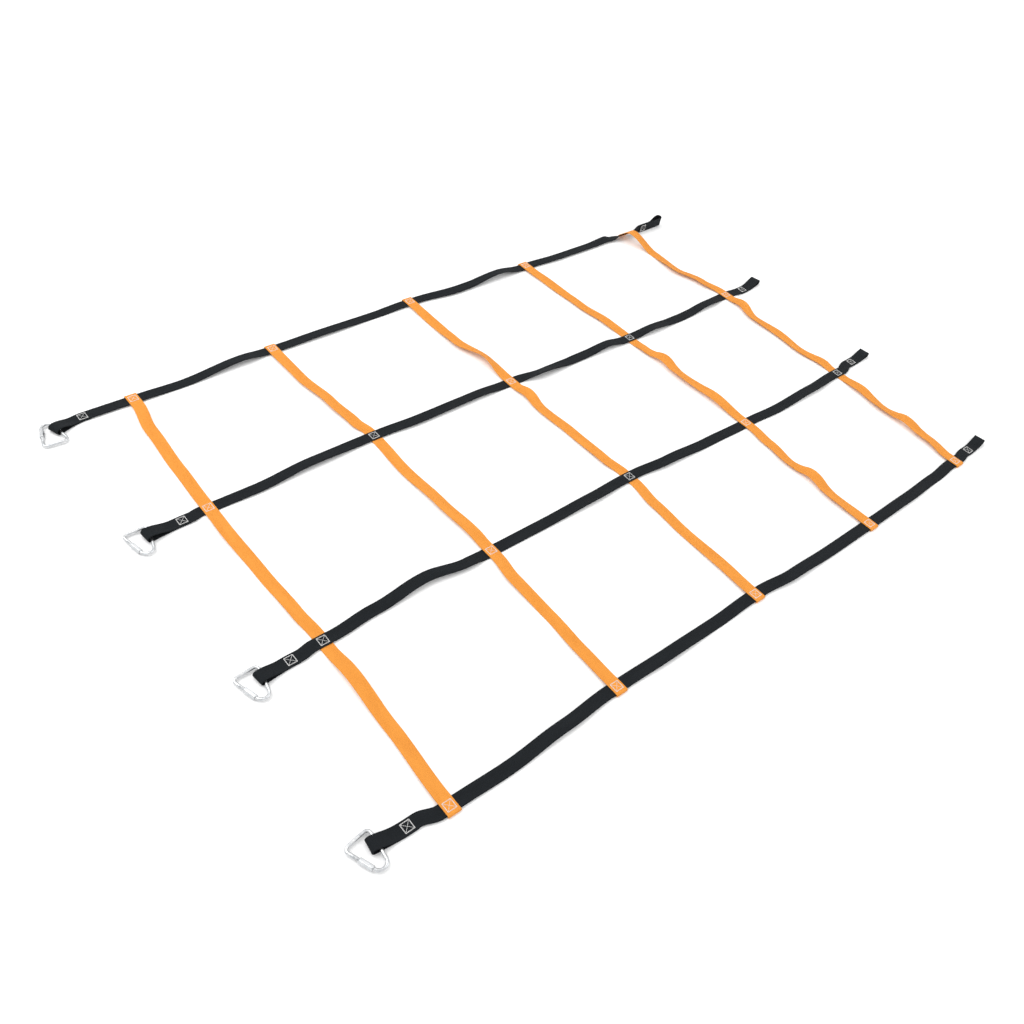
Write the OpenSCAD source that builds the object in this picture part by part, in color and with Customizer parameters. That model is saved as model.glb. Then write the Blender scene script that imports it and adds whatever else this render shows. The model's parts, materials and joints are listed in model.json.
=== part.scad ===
// Webbing ladder net: four flat uprights, five flat rungs sewn across them, an eye at both ends of
// every upright, and a triangular screw link in each eye of the hanging end.
// The net lies flat: X runs along the uprights from the links to the free eyes, Y along the rungs,
// Z up. The origin is under the middle of the whole net, on the ground.

/* [Net] */
// Distance from one rung to the next, and from one upright to the next
cell = 365; // [340:5:400]

/* [Webbing] */
// Width of the webbing
web_w = 25; // [23:1:26]
// Thickness of the webbing
web_t = 2; // [1.6:0.1:2]

/* [Eyes] */
// Inner radius of the bend at the tip of each eye
eye_r = 4; // [4:0.1:5]
// Length of webbing folded back under a stitched box, from the box's middle
tail_len = 13; // [11:1:14]

/* [Stitching] */
// Outer side of a stitched box
box_side = 18; // [14:1:20]
// Width of a line of stitches
stitch_w = 1.2; // [0.8:0.1:1.5]
// Height of the stitches above the webbing
stitch_h = 0.5; // [0.3:0.1:0.6]

/* [Links] */
// Diameter of the link's bar
bar_d = 6; // [5.5:0.1:6]
// Length of the link's centreline, from its short side to its round end
link_long = 61; // [60:0.5:64]
// Length of the link's short side on the centreline, from corner point to corner point
link_short = 48; // [46:1:50]
// Radius of the corners at the short side, on the centreline
link_bend = 7; // [6:0.5:8]
// Radius of the round end, on the centreline
link_round = 12; // [11:0.5:12]
// Gap in the link's bar that the sleeve closes
gate = 7.5; // [6:0.5:8]
// Length of the screw sleeve
sleeve_len = 24; // [22:1:24]
// Width of the screw sleeve across its flats
sleeve_flats = 9; // [8.5:0.1:9]
// Radial clearance of the sleeve on the bar
sleeve_gap = 0.08; // [0.05:0.01:0.1]

/* [Hidden] */
LETTERS = ["a", "b", "c", "d"];
NUMBERS = ["1", "2", "3", "4", "5"];

BLACK = [0.12, 0.13, 0.15];
ORANGE = [1, 0.6, 0.2];
THREAD = [0.93, 0.91, 0.88];
ZINC = [0.78, 0.8, 0.82];

// The even grid's first crossing, upright a with rung 1
grid_start = [22 - 2 * cell, 1.5 * cell + 5.5];
last = len(NUMBERS) - 1;
// Half the length over which a strap lies flat where it is sewn
flat = web_w / 2 + 4;
// Half the length over which it doesn't turn there either, a little past the other strap's edge
still = web_w / 2 + 1.2;
// Slack between an upright's edge and the rung folded round it, and how far past the upright's
// middle the rung's end is folded back
fold_gap = 0.3;
fold_tail = 11;
// How far apart the rings of a strap's solid are along it
ring_gap = 22;

// Where each crossing lies off the even grid, as [along X, along Y]: a row for each upright
crossing_shift = [
    [[15, -10], [-25, 0], [-15, 5], [-20, -5], [-35, -20]],
    [[-5, 5], [5, 15], [5, 10], [5, -5], [10, 5]],
    [[5, -5], [10, 0], [20, 5], [15, -10], [5, -5]],
    [[-5, -5], [-5, 5], [0, 5], [-5, -5], [-20, 5]]];
// The last crossing of upright a has rolled up on its outer edge, held off the ground by the fold
rolled_tilt = -40;
rolled_lift = 1.2;

// Lay of each upright between crossings: a row for each upright, a list for each bay.
// Each point is [share of the bay, sideways, height above the ground, tilt]
upright_lay = [
    [[[0.3, -3, 0, 0], [0.78, 0, 7, -8]],
     [[0.35, -1, 3, -4], [0.7, 0, 0, 0]],
     [[0.38, -8, 3, 5], [0.75, 0, 9, -10]],
     [[0.3, 0, 2, -4], [0.6, 5, 2, -3], [0.83, 10, 4, 5], [0.89, 7, 1, -12]]],
    [[[0.25, -4, 2, 0], [0.62, 0, 5, -6]],
     [[0.3, -4, 4, 0], [0.75, 0, 3, -6]],
     [[0.22, -8, 4, -20], [0.55, -2, 1, 4], [0.8, 2, 6, -6]],
     [[0.2, -3, 6, -8], [0.48, -6, 0, 5], [0.8, -3, 4, -8]]],
    [[[0.3, 6, 2, 4], [0.6, 12, 9, 0], [0.85, 0, 3, -8]],
     [[0.35, -2, 1, 0], [0.7, -3, 4, -4]],
     [[0.3, -4, 5, 0], [0.65, -3, 0, 3]],
     [[0.3, -6, 1, 0], [0.68, -5, 4, -5]]],
    [[[0.3, -5, 1, 3], [0.65, -3, 4, -4]],
     [[0.35, -3, 5, 0], [0.7, -2, 0, 0]],
     [[0.3, -6, 4, -4], [0.65, -4, 1, 2]],
     [[0.4, -3, 3, 0], [0.75, -2, 0, 0]]]];
// Lay of each rung between uprights, in the same form: a row for each rung
rung_lay = [
    [[[0.3, -6, 3, 0], [0.65, -4, 0, 4]],
     [[0.2, -4, 4, 3], [0.5, -3, 0, 0], [0.8, -3, 2, -3]],
     [[0.24, 2, 9, 12], [0.55, 3, 2, 0]]],
    [[[0.32, -8, 2, -5], [0.62, -6, 3, -8], [0.85, -6, 4, 0]],
     [[0.3, -7, 2, 0], [0.6, -3, 3, -6], [0.86, 1, 5, 0]],
     [[0.22, -5, 4, 0], [0.5, 0, 0, 0], [0.75, -2, 3, 0]]],
    [[[0.25, -5, 1, 6], [0.5, -10, 5, -5], [0.76, 6, 4, -28]],
     [[0.15, 1, 5, 10], [0.3, -6, 1, -5], [0.55, -4, 2, 0], [0.82, -6, 3, -3]],
     [[0.24, -6, 2, 0], [0.5, -6, 1, 0], [0.75, -2, 3, 3]]],
    [[[0.25, -2, 2, 5], [0.55, -4, 2, -3], [0.8, 0, 4, 0]],
     [[0.15, -1, 2, -6], [0.3, 4, 9, 10], [0.46, -2, 4, -12], [0.74, 2, 8, 6]],
     [[0.22, -4, 3, 0], [0.4, -9, 1, -10], [0.55, -1, 8, 10], [0.75, -6, 3, -8]]],
    [[[0.55, -18, 3, -15], [0.78, -6, 4, -10]],
     [[0.14, 2, 6, 8], [0.3, -12, 1, -12], [0.5, -8, 4, 0], [0.7, -12, 1, -8], [0.88, -2, 4, 4]],
     [[0.2, 0, 6, 6], [0.42, -4, 2, -14], [0.58, 3, 10, 8], [0.78, 4, 5, -6]]]];
// The last rung arches off the rolled crossing and lands here: [off the even grid, along the bay]
arch_landing = [-20, 100];
// How far the arch keeps the direction in which it leaves and in which it lands
arch_pull = [30, 30];

// Eyes at the hanging end: place of the stitched box as [X, Y] off the grid's first rung,
// length from the box's middle to the tip, sideways sway of the tip, and how many times eye_r the
// inner radius of its bend is
top_eyes = [
    [[-90, -10], 65, -15, 1.3], [[-60, 0], 75, -5, 1.4], [[-60, -10], 65, -5, 1.1],
    [[-75, 5], 65, 5, 1.1]];
// Eyes at the free end, in the same form, off the grid's last rung
bottom_eyes = [
    [[35, -20], 75, -2, 1.6], [[70, 0], 70, 10, 1], [[75, 5], 65, 5, 1], [[45, 10], 60, 5, 1]];
// How the eye beyond the rolled crossing lies
rolled_eye_tilt = -85;

// How the links lie in the top eyes: turn of the bar about Z, 1 or -1 for the side turned up, how
// far the bar lies from the eye's bend, and straight bar between the link's bend and the webbing
link_lay = [[10, -1, 3, 1], [-15, 1, 5, 1], [-10, 1, 5, 3], [-5, 1, 8, 5]];
// How far each link's bar lies above the webbing under it
link_rise = 0.4;
// Slope of a link that lies with its sleeve on the ground
link_slope = 1.4;
// Bar left between the sleeve and the link's round end, and thread the sleeve keeps beyond the gate
sleeve_stop = 1.4;
thread_hold = 4;
// How far straight bar runs into a bend, and how much thicker the bent bar is all round
bend_overlap = 0.3;
bend_swell = 0.02;
// How deep the sleeve's end chamfers cut into its flats
flats_cut = 0.3;

function mix(a, b, f) = a + (b - a) * f;
function ease(f) = (1 - cos(180 * f)) / 2;
function unit(v) = v / norm(v);

// Whether rungs fold round this upright, and whether the upright lies over the rung where they cross
function folded(i) = i == 0 || i == len(LETTERS) - 1;
function upright_over(i, j) = !folded(i) && (i + j) % 2 == 0;
// Middle of each strap at a crossing, and top of the stack, in webbing thicknesses above the ground
function upright_level(i, j) = folded(i) || upright_over(i, j) ? 1.5 : 0.5;
function rung_level(i, j) = folded(i) ? 2.5 : upright_over(i, j) ? 0.5 : 1.5;
function stack_level(i) = folded(i) ? 3 : 2;

function even(i, j) = grid_start + [j * cell, -i * cell];
function crossing(i, j) = even(i, j) + crossing_shift[i][j];
function crossing_tilt(i, j) = i == 0 && j == last ? rolled_tilt : 0;
// Height of the middle of a plane whose lower edge lies on the ground
function edge_rise(tilt) = web_w / 2 * abs(sin(tilt));
// The middle of the lower face of what is sewn together at a crossing or under an eye's stitches
function crossing_base(i, j) =
    let(c = crossing(i, j), t = crossing_tilt(i, j))
    [c[0], c[1], edge_rise(t) + (t == 0 ? 0 : rolled_lift)];
function eye_base(p, tilt) = [p[0], p[1], edge_rise(tilt)];
function across(tilt) = [0, cos(tilt), sin(tilt)];
function above(tilt) = [0, -sin(tilt), cos(tilt)];

// A strap's lay points are [x, y, height of its lowest edge, tilt]. This is one where it is sewn
function held(base, dx, dy, level, tilt) =
    [base[0] + dx, base[1] + dy - level * web_t * sin(tilt),
     base[2] - edge_rise(tilt) + (level - 0.5) * web_t * cos(tilt), tilt];
function lay_middle(p) = [p[0], p[1], p[2] + edge_rise(p[3]) + web_t / 2 * cos(p[3])];
// A point between two lay points: even along the strap's main axis and eased in everything else
function lay_between(p, q, f, main) =
    [for (k = [0:3]) mix(p[k], q[k], k == main ? f : ease(f))];
function lay_steps(p, q, main) = max(1, ceil(abs(q[main] - p[main]) / ring_gap));
function lay_run(pts, main) = concat(
    [for (k = [0:len(pts) - 2])
        let(n = lay_steps(pts[k], pts[k + 1], main))
        for (s = [0:n - 1]) lay_between(pts[k], pts[k + 1], s / n, main)],
    [pts[len(pts) - 1]]);

// Rings are [middle, width direction]. A free stretch turns its width about its own direction
function course(m, k) = unit(m[min(k + 1, len(m) - 1)] - m[max(k - 1, 0)]);
function free_rings(run) =
    let(m = [for (p = run) lay_middle(p)])
    [for (k = [0:len(m) - 1])
        let(d = course(m, k), side = unit(cross([0, 0, 1], d)), lift = cross(d, side))
        [m[k], side * cos(run[k][3]) + lift * sin(run[k][3])]];

// One solid strap through all its rings
module ribbon(rings) {
    m = [for (r = rings) r[0]];
    n = len(rings);
    corners = [for (k = [0:n - 1])
        let(w = rings[k][1] * web_w / 2, h = unit(cross(course(m, k), rings[k][1])) * web_t / 2)
        for (c = [m[k] - w - h, m[k] + w - h, m[k] + w + h, m[k] - w + h]) c];
    sides = [for (k = [0:n - 2]) for (c = [0:3])
        let(a = 4 * k + c, b = 4 * k + (c + 1) % 4)
        for (f = [[a, a + 4, b], [b, a + 4, b + 4]]) f];
    e = 4 * (n - 1);
    polyhedron(corners, concat(sides, [[0, 1, 2], [0, 2, 3], [e, e + 2, e + 1], [e, e + 3, e + 2]]));
}

// An eye: u runs outward from the middle of its stitched box, w up from the ground side
function eye_bend(eye) = eye_r * eye[3] + web_t / 2;
function eye_reach(eye) = eye[1] - eye_bend(eye) - web_t / 2;
// Its sway grows as the share of its length to this power, and goes straight on past the bend
sway_power = 1.5;
function eye_share(eye, u) = max(u, 0) / eye_reach(eye);
function eye_side(eye, u) =
    let(f = eye_share(eye, u))
    eye[2] * (f < 1 ? pow(f, sway_power) : 1 + sway_power * (f - 1));
function eye_turn(eye, u) =
    atan(sway_power * eye[2] * pow(min(eye_share(eye, u), 1), sway_power - 1) / eye_reach(eye));
function eye_line(reach, bend) = concat(
    [for (k = [0:5]) [mix(-tail_len, reach, k / 5), web_t / 2]],
    [for (k = [1:8])
        let(a = 20 * k - 90)
        [reach + bend * cos(a), web_t / 2 + bend * (1 + sin(a))]],
    [for (k = [0:7])
        [mix(reach, flat, k / 7), mix(web_t / 2 + 2 * bend, 1.5 * web_t, ease(k / 7))]],
    [[0, 1.5 * web_t]]);
function eye_rings(start, eye, out, tilt) =
    [for (p = eye_line(eye_reach(eye), eye_bend(eye)))
        let(turn = eye_turn(eye, p[0]))
        [start + p[0] * out + eye_side(eye, p[0]) * across(tilt) + p[1] * above(tilt),
         across(tilt) * cos(turn) - out * sin(turn)]];
function backward(list) = [for (k = [len(list) - 1:-1:0]) list[k]];

function eye_tilt(i) = i == 0 ? rolled_eye_tilt : 0;
function top_eye_at(i) = eye_base(even(i, 0) + top_eyes[i][0], 0);
function bottom_eye_at(i) = eye_base(even(i, last) + bottom_eyes[i][0], eye_tilt(i));

function upright_points(i) = concat(
    [for (u = [still, flat]) held(top_eye_at(i), u, 0, 1.5, 0)],
    [for (j = [0:last])
        let(c = crossing_base(i, j), t = crossing_tilt(i, j), level = upright_level(i, j))
        for (p = concat(
            [for (u = [-flat, -still, 0, still, flat]) held(c, u, 0, level, t)],
            j == last ? [] : [for (w = upright_lay[i][j])
                let(b = mix(c, crossing_base(i, j + 1), w[0])) [b[0], b[1] + w[1], w[2], w[3]]])) p],
    [for (u = [-flat, -still]) held(bottom_eye_at(i), u, 0, 1.5, eye_tilt(i))]);

module upright(i) {
    color(BLACK) ribbon(concat(
        eye_rings(top_eye_at(i), top_eyes[i], [-1, 0, 0], 0),
        free_rings(lay_run(upright_points(i), 0)),
        backward(eye_rings(bottom_eye_at(i), bottom_eyes[i], [1, 0, 0], eye_tilt(i)))));
}

// A rung's end, folded round an outer upright: v runs outward across it, w up from the ground side
function fold_line() = concat(
    [for (v = [-fold_tail, 0, web_w / 2 + fold_gap]) [v, 0.5 * web_t]],
    [for (k = [1:7])
        let(a = 22.5 * k - 90)
        [web_w / 2 + fold_gap + web_t * cos(a), web_t * (1.5 + sin(a))]],
    [for (v = [web_w / 2 + fold_gap, 0, -still]) [v, 2.5 * web_t]]);
function fold_rings(start, out, up) =
    [for (p = fold_line()) [start + p[0] * out + p[1] * up, [1, 0, 0]]];

// Where a rung leaves the rolled crossing, and the curve down from there
function bezier(p, f) =
    p[0] * pow(1 - f, 3) + 3 * p[1] * f * pow(1 - f, 2) + 3 * p[2] * f * f * (1 - f) + p[3] * pow(f, 3);
function arch_run() =
    let(c = crossing_base(0, last),
        out = across(rolled_tilt),
        leave = c - flat * out + 2.5 * web_t * above(rolled_tilt),
        land = [even(0, last)[0] + arch_landing[0], c[1] - arch_landing[1], web_t / 2],
        p = [leave, leave - arch_pull[0] * out, land + [0, arch_pull[1], 0], land])
    [for (k = [0:9]) bezier(p, k / 10)];
function arch_rings() =
    let(m = arch_run())
    [for (k = [0:len(m) - 1]) [m[k], unit(cross([0, 0, 1], course(m, k)))]];

function rung_points(j) = concat(
    j == last
        ? [[even(0, j)[0] + arch_landing[0], crossing(0, j)[1] - arch_landing[1], 0, 0]]
        : [held(crossing_base(0, j), 0, -flat, 2.5, 0)],
    [for (i = [0:2])
        let(c = crossing(i, j), d = crossing_base(i + 1, j), level = rung_level(i + 1, j))
        for (p = concat(
            [for (w = rung_lay[j][i])
                let(b = mix(c, crossing(i + 1, j), w[0])) [b[0] + w[1], b[1], w[2], w[3]]],
            i == 2 ? [] : [for (s = [1, 0, -1]) held(d, 0, s * flat, level, 0)])) p],
    [held(crossing_base(3, j), 0, flat, 2.5, 0)]);

module rung(j) {
    t = crossing_tilt(0, j);
    color(ORANGE) ribbon(concat(
        fold_rings(crossing_base(0, j), across(t), above(t)),
        j == last ? arch_rings() : [],
        free_rings(lay_run(rung_points(j), 1)),
        backward(fold_rings(crossing_base(3, j), [0, -1, 0], [0, 0, 1]))));
}

// A box of stitches with a cross in it, standing on the webbing
module box_stitch() {
    color(THREAD) linear_extrude(stitch_h) {
        difference() {
            square(box_side, center = true);
            square(box_side - 2 * stitch_w, center = true);
        }
        intersection() {
            square(box_side, center = true);
            for (a = [45, -45]) rotate(a) square([2 * box_side, stitch_w], center = true);
        }
    }
}

module stitch_on(base, tilt, level) {
    translate(base) rotate([tilt, 0, 0]) translate([0, 0, level * web_t]) box_stitch();
}

// A link lies in its own XY plane with its bar along Y through the origin, where the eye holds it.
// Side 1 has the short side next to the webbing at +Y. Side -1, turned over, has the round end there
link_axis = link_long - link_round;
half_sharp = acos(link_round / norm([link_short / 2, link_axis])) - atan(2 * link_axis / link_short);
base_angle = 90 - half_sharp;
sharp_angle = 2 * half_sharp;
// Length of each long side, from corner point to corner point, and what the bends cut off its ends
link_side = link_short / 2 / sin(half_sharp);
base_cut = link_bend / tan(base_angle / 2);
sharp_cut = link_round / tan(half_sharp);
// Directions of the link's other two sides, going round it, and distances along the gate side
short_heading = 270 - base_angle;
gate_heading = 450 - 2 * base_angle;
gate_side = link_side - sharp_cut;
sleeve_to = gate_side - sleeve_stop;
gate_to = sleeve_to - thread_hold;

function heading(a) = [cos(a), sin(a)];
function blunt_corner(lay) =
    let(bend_at = web_w / 2 + lay[3])
    [0, lay[1] > 0 ? bend_at + base_cut : gate_side - bend_at];
function far_corner(lay) = blunt_corner(lay) + link_short * heading(short_heading);
function on_gate_side(lay, d) = far_corner(lay) + d * heading(gate_heading);

// A straight stretch of bar, whose ends run on inside the bends it joins
module rod(p, q) {
    d = q - p;
    translate([p[0], p[1], 0]) rotate([0, 0, atan2(d[1], d[0])]) rotate([0, 90, 0])
        translate([0, 0, -bend_overlap]) cylinder(d = bar_d, h = norm(d) + 2 * bend_overlap, $fn = 48);
}

// The bar bent to a radius round a corner whose outer side turns on from one direction
module corner(p, bend, from, turn) {
    c = p - heading(from + turn / 2) * bend / cos(turn / 2);
    translate([c[0], c[1], 0]) rotate([0, 0, from])
        rotate_extrude(angle = turn, $fn = 96) translate([bend, 0])
            circle(d = bar_d + 2 * bend_swell, $fn = 48);
}

module link_bar(lay) {
    blunt = blunt_corner(lay);
    far = far_corner(lay);
    sharp = blunt - [0, link_side];
    corner(blunt, link_bend, 0, 180 - base_angle);
    corner(far, link_bend, 180 - base_angle, 180 - base_angle);
    corner(sharp, link_round, -180 + sharp_angle, 180 - sharp_angle);
    rod(sharp + [0, sharp_cut], blunt - [0, base_cut]);
    rod(blunt + base_cut * heading(short_heading), far - base_cut * heading(short_heading));
    rod(on_gate_side(lay, base_cut), on_gate_side(lay, gate_to - gate - bend_overlap));
    rod(on_gate_side(lay, gate_to + bend_overlap), on_gate_side(lay, gate_side));
}

module sleeve(lay) {
    start = on_gate_side(lay, sleeve_to - sleeve_len);
    round_r = sleeve_flats / 2 / cos(30);
    chamfer = round_r - sleeve_flats / 2 + flats_cut;
    translate([start[0], start[1], 0]) rotate([0, 0, gate_heading]) rotate([0, 90, 0])
        difference() {
            intersection() {
                rotate(30) cylinder(r = round_r, h = sleeve_len, $fn = 6);
                rotate_extrude($fn = 64) polygon([
                    [0, 0], [round_r - chamfer, 0], [round_r, chamfer],
                    [round_r, sleeve_len - chamfer], [round_r - chamfer, sleeve_len],
                    [0, sleeve_len]]);
            }
            translate([0, 0, -1]) cylinder(r = bar_d / 2 + sleeve_gap, h = sleeve_len + 2, $fn = 64);
        }
}

// Where a link's bar crosses its eye
function link_at(i) =
    let(e = top_eye_at(i), u = eye_reach(top_eyes[i]) - link_lay[i][2])
    [e[0] - u, e[1] + eye_side(top_eyes[i], u), web_t + link_rise + bar_d / 2];

module link_place(i) {
    translate(link_at(i)) rotate([0, -link_slope, link_lay[i][0]])
        rotate([link_lay[i][1] > 0 ? 0 : 180, 0, 0]) children();
}

for (i = [0:3]) {
    upright(i);
    stitch_on(top_eye_at(i), 0, 2);
    stitch_on(bottom_eye_at(i), eye_tilt(i), 2);
    color(ZINC) link_place(i) link_bar(link_lay[i]);
    color(ZINC) link_place(i) sleeve(link_lay[i]);
}
for (j = [0:last]) rung(j);
for (i = [0:3]) for (j = [0:last])
    stitch_on(crossing_base(i, j), crossing_tilt(i, j), stack_level(i));
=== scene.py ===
"""Looks of the webbing ladder net.

Every strap, box of stitches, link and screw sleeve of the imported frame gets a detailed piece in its
place. Stitches and links take their places from the frame, and the lay of the straps between them is
listed here. Shapes are worked out in millimetres and become metres in add_piece().
"""

import json
import random
from math import acos, atan, atan2, ceil, cos, degrees, exp, floor, hypot, pi, radians, sin, tan

import bpy
from mathutils import Matrix, Vector, noise


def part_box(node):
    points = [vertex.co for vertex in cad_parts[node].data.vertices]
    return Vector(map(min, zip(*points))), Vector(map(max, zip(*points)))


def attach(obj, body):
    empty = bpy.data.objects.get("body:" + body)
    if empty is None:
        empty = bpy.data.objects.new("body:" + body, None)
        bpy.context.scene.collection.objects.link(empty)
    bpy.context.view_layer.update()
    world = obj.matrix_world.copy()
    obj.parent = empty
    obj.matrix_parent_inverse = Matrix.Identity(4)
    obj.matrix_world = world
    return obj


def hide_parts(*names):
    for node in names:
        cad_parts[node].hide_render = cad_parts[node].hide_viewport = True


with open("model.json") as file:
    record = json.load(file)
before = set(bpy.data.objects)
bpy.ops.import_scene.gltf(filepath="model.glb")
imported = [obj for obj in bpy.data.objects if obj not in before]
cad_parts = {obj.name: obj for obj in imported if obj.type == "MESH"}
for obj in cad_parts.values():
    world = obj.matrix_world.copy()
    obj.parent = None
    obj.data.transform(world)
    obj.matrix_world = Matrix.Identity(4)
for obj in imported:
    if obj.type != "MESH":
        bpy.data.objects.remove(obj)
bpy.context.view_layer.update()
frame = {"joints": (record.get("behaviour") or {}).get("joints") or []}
MM = 0.001

# ---------------------------------------------------------------- Sizes, in millimetres
LETTERS = "abcd"
RUNGS = "12345"
LAST = len(RUNGS) - 1

WEB_W = 25.0
WEB_T = 2.0
# The visible webbing is this much thinner than its solid, so that sewn layers only just touch
SKIN_GAP = 0.04
EDGE_ROUND = 0.9
COLUMNS = 30
EDGE_STEPS = 4
# Distance between the rings of a strap: where it is sewn, and where it lies free
FINE = 0.9
COARSE = 5.0

FLAT = WEB_W / 2 + 4
FOLD_GAP = 0.3
EYE_R = 4.0
TAIL = 13.0
FOLD_TAIL = 11.0

BOX_SIDE = 18.0
STITCH_H = 0.5
# The outer row's distance from the edge of the box, and the distance between its rows
ROW_INSET = 0.5
ROW_GAP = 0.8
STITCH_LEN = 2.9
# Share of a stitch's length left free at each end, and how far a stitch may lie off its row
STITCH_SPARE = 0.06
STITCH_SHAKE = 0.07
THREAD_W = 0.7
THREAD_T = 0.5
THREAD_STEPS = 8
# How deep stitches pull the webbing in, and how far from their line
PRESS_DEPTH = 0.26
PRESS_REACH = 0.95
# Thickness of the webbing's last rings as shares of the rest, and the waviness of its edges
END_SHARES = (0.55, 0.9, 1.0)
FRILL = 0.22
FRILL_FROM = 0.6

BAR_R = 3.0
LINK_LONG = 61.0
LINK_SHORT = 48.0
LINK_BEND = 7.0
LINK_ROUND = 12.0
# Straight bar between each link's bend and the webbing
LINK_GAPS = {"a": 1, "b": 1, "c": 3, "d": 5}
GATE = 7.5
SLEEVE_LEN = 24.0
SLEEVE_FLATS = 9.0
SLEEVE_GAP = 0.08
SLEEVE_STOP = 1.4
SLEEVE_TRAVEL = 12.0
THREAD_HOLD = 4.0
THREAD_PITCH = 1.0
THREAD_DEPTH = 0.42
# Length over which the bar's thread runs out, and the chamfer at the bar's ends
THREAD_FADE = 1.5
BAR_CHAMFER = 0.7
# Points round the bar and in each of its bends, round the sleeve, and in each pitch of its bore
BAR_STEPS = 32
SLEEVE_STEPS = 72
BORE_STEPS = 8
# The sleeve's bore: depth of its thread, and the chamfer at its mouths
BORE_DEPTH = 0.3
BORE_CHAMFER = 0.6
# How much the sleeve's long edges are rounded off, and how much its end chamfers cut into its flats
EDGE_WORN = 0.12
FLATS_CUT = 0.3
# The sleeve's way round, for its flat coordinates
SLEEVE_GIRTH = 28.0
LINK_SLOPE = 1.4

# ---------------------------------------------------------------- How the net lies
# The crossing that has rolled up on its edge, the eye beyond it, and what those are tilted by
ROLLED_TILT = -40.0
ROLLED_EYE_TILT = -85.0

# Lay of each upright between crossings, a row for each upright and a list for each bay.
# Each point is (share of the bay, sideways, height above the ground, tilt)
UPRIGHT_LAY = [
    [[(0.3, -3, 0, 0), (0.78, 0, 7, -8)],
     [(0.35, -1, 3, -4), (0.7, 0, 0, 0)],
     [(0.38, -8, 3, 5), (0.75, 0, 9, -10)],
     [(0.3, 0, 2, -4), (0.6, 5, 2, -3), (0.83, 10, 4, 5), (0.89, 7, 1, -12)]],
    [[(0.25, -4, 2, 0), (0.62, 0, 5, -6)],
     [(0.3, -4, 4, 0), (0.75, 0, 3, -6)],
     [(0.22, -8, 4, -20), (0.55, -2, 1, 4), (0.8, 2, 6, -6)],
     [(0.2, -3, 6, -8), (0.48, -6, 0, 5), (0.8, -3, 4, -8)]],
    [[(0.3, 6, 2, 4), (0.6, 12, 9, 0), (0.85, 0, 3, -8)],
     [(0.35, -2, 1, 0), (0.7, -3, 4, -4)],
     [(0.3, -4, 5, 0), (0.65, -3, 0, 3)],
     [(0.3, -6, 1, 0), (0.68, -5, 4, -5)]],
    [[(0.3, -5, 1, 3), (0.65, -3, 4, -4)],
     [(0.35, -3, 5, 0), (0.7, -2, 0, 0)],
     [(0.3, -6, 4, -4), (0.65, -4, 1, 2)],
     [(0.4, -3, 3, 0), (0.75, -2, 0, 0)]]]
# Lay of each rung between uprights, in the same form, a row for each rung
RUNG_LAY = [
    [[(0.3, -6, 3, 0), (0.65, -4, 0, 4)],
     [(0.2, -4, 4, 3), (0.5, -3, 0, 0), (0.8, -3, 2, -3)],
     [(0.24, 2, 9, 12), (0.55, 3, 2, 0)]],
    [[(0.32, -8, 2, -5), (0.62, -6, 3, -8), (0.85, -6, 4, 0)],
     [(0.3, -7, 2, 0), (0.6, -3, 3, -6), (0.86, 1, 5, 0)],
     [(0.22, -5, 4, 0), (0.5, 0, 0, 0), (0.75, -2, 3, 0)]],
    [[(0.25, -5, 1, 6), (0.5, -10, 5, -5), (0.76, 6, 4, -28)],
     [(0.15, 1, 5, 10), (0.3, -6, 1, -5), (0.55, -4, 2, 0), (0.82, -6, 3, -3)],
     [(0.24, -6, 2, 0), (0.5, -6, 1, 0), (0.75, -2, 3, 3)]],
    [[(0.25, -2, 2, 5), (0.55, -4, 2, -3), (0.8, 0, 4, 0)],
     [(0.15, -1, 2, -6), (0.3, 4, 9, 10), (0.46, -2, 4, -12), (0.74, 2, 8, 6)],
     [(0.22, -4, 3, 0), (0.4, -9, 1, -10), (0.55, -1, 8, 10), (0.75, -6, 3, -8)]],
    [[(0.55, -18, 3, -15), (0.78, -6, 4, -10)],
     [(0.14, 2, 6, 8), (0.3, -12, 1, -12), (0.5, -8, 4, 0), (0.7, -12, 1, -8), (0.88, -2, 4, 4)],
     [(0.2, 0, 6, 6), (0.42, -4, 2, -14), (0.58, 3, 10, 8), (0.78, 4, 5, -6)]]]
# The last rung arches off the rolled crossing and lands here: (off the even grid, along the bay)
ARCH_LANDING = (-20, 100)
ARCH_PULL = (30, 30)
EVEN_LAST_X = 752.0

# Each eye's length from the middle of its stitched box to its tip, the sideways sway of the tip, and
# how many times EYE_R the inner radius of its bend is
TOP_EYES = [(65, -15, 1.3), (75, -5, 1.4), (65, -5, 1.1), (65, 5, 1.1)]
BOTTOM_EYES = [(75, -2, 1.6), (70, 10, 1), (65, 5, 1), (60, 5, 1)]
# The sway grows as the share of the eye's length to this power
SWAY_POWER = 1.5
# The link of this upright has its other side up
TURNED_OVER = "a"

# ---------------------------------------------------------------- Camera, light and floor
CAMERA_AIM = (-0.232, -0.118, 0.0)
CAMERA_AWAY = 1.97
CAMERA_HEADING = 42.4
CAMERA_DOWN = 44.8
CAMERA_ROLL = 11.1
CAMERA_LENS = 35.35
SKY_STRENGTH = 1.05
HORIZON_STRENGTH = 0.4
HORIZON_HEIGHT = 0.3
KEY_POWER = 60
FILL_POWER = 30
# In metres: the floor's side, and how far it lies under the net so that the two never touch
FLOOR_SIZE = 40
FLOOR_DROP = 0.0006


def link_to_scene(obj):
    bpy.context.scene.collection.objects.link(obj)
    return obj


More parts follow.
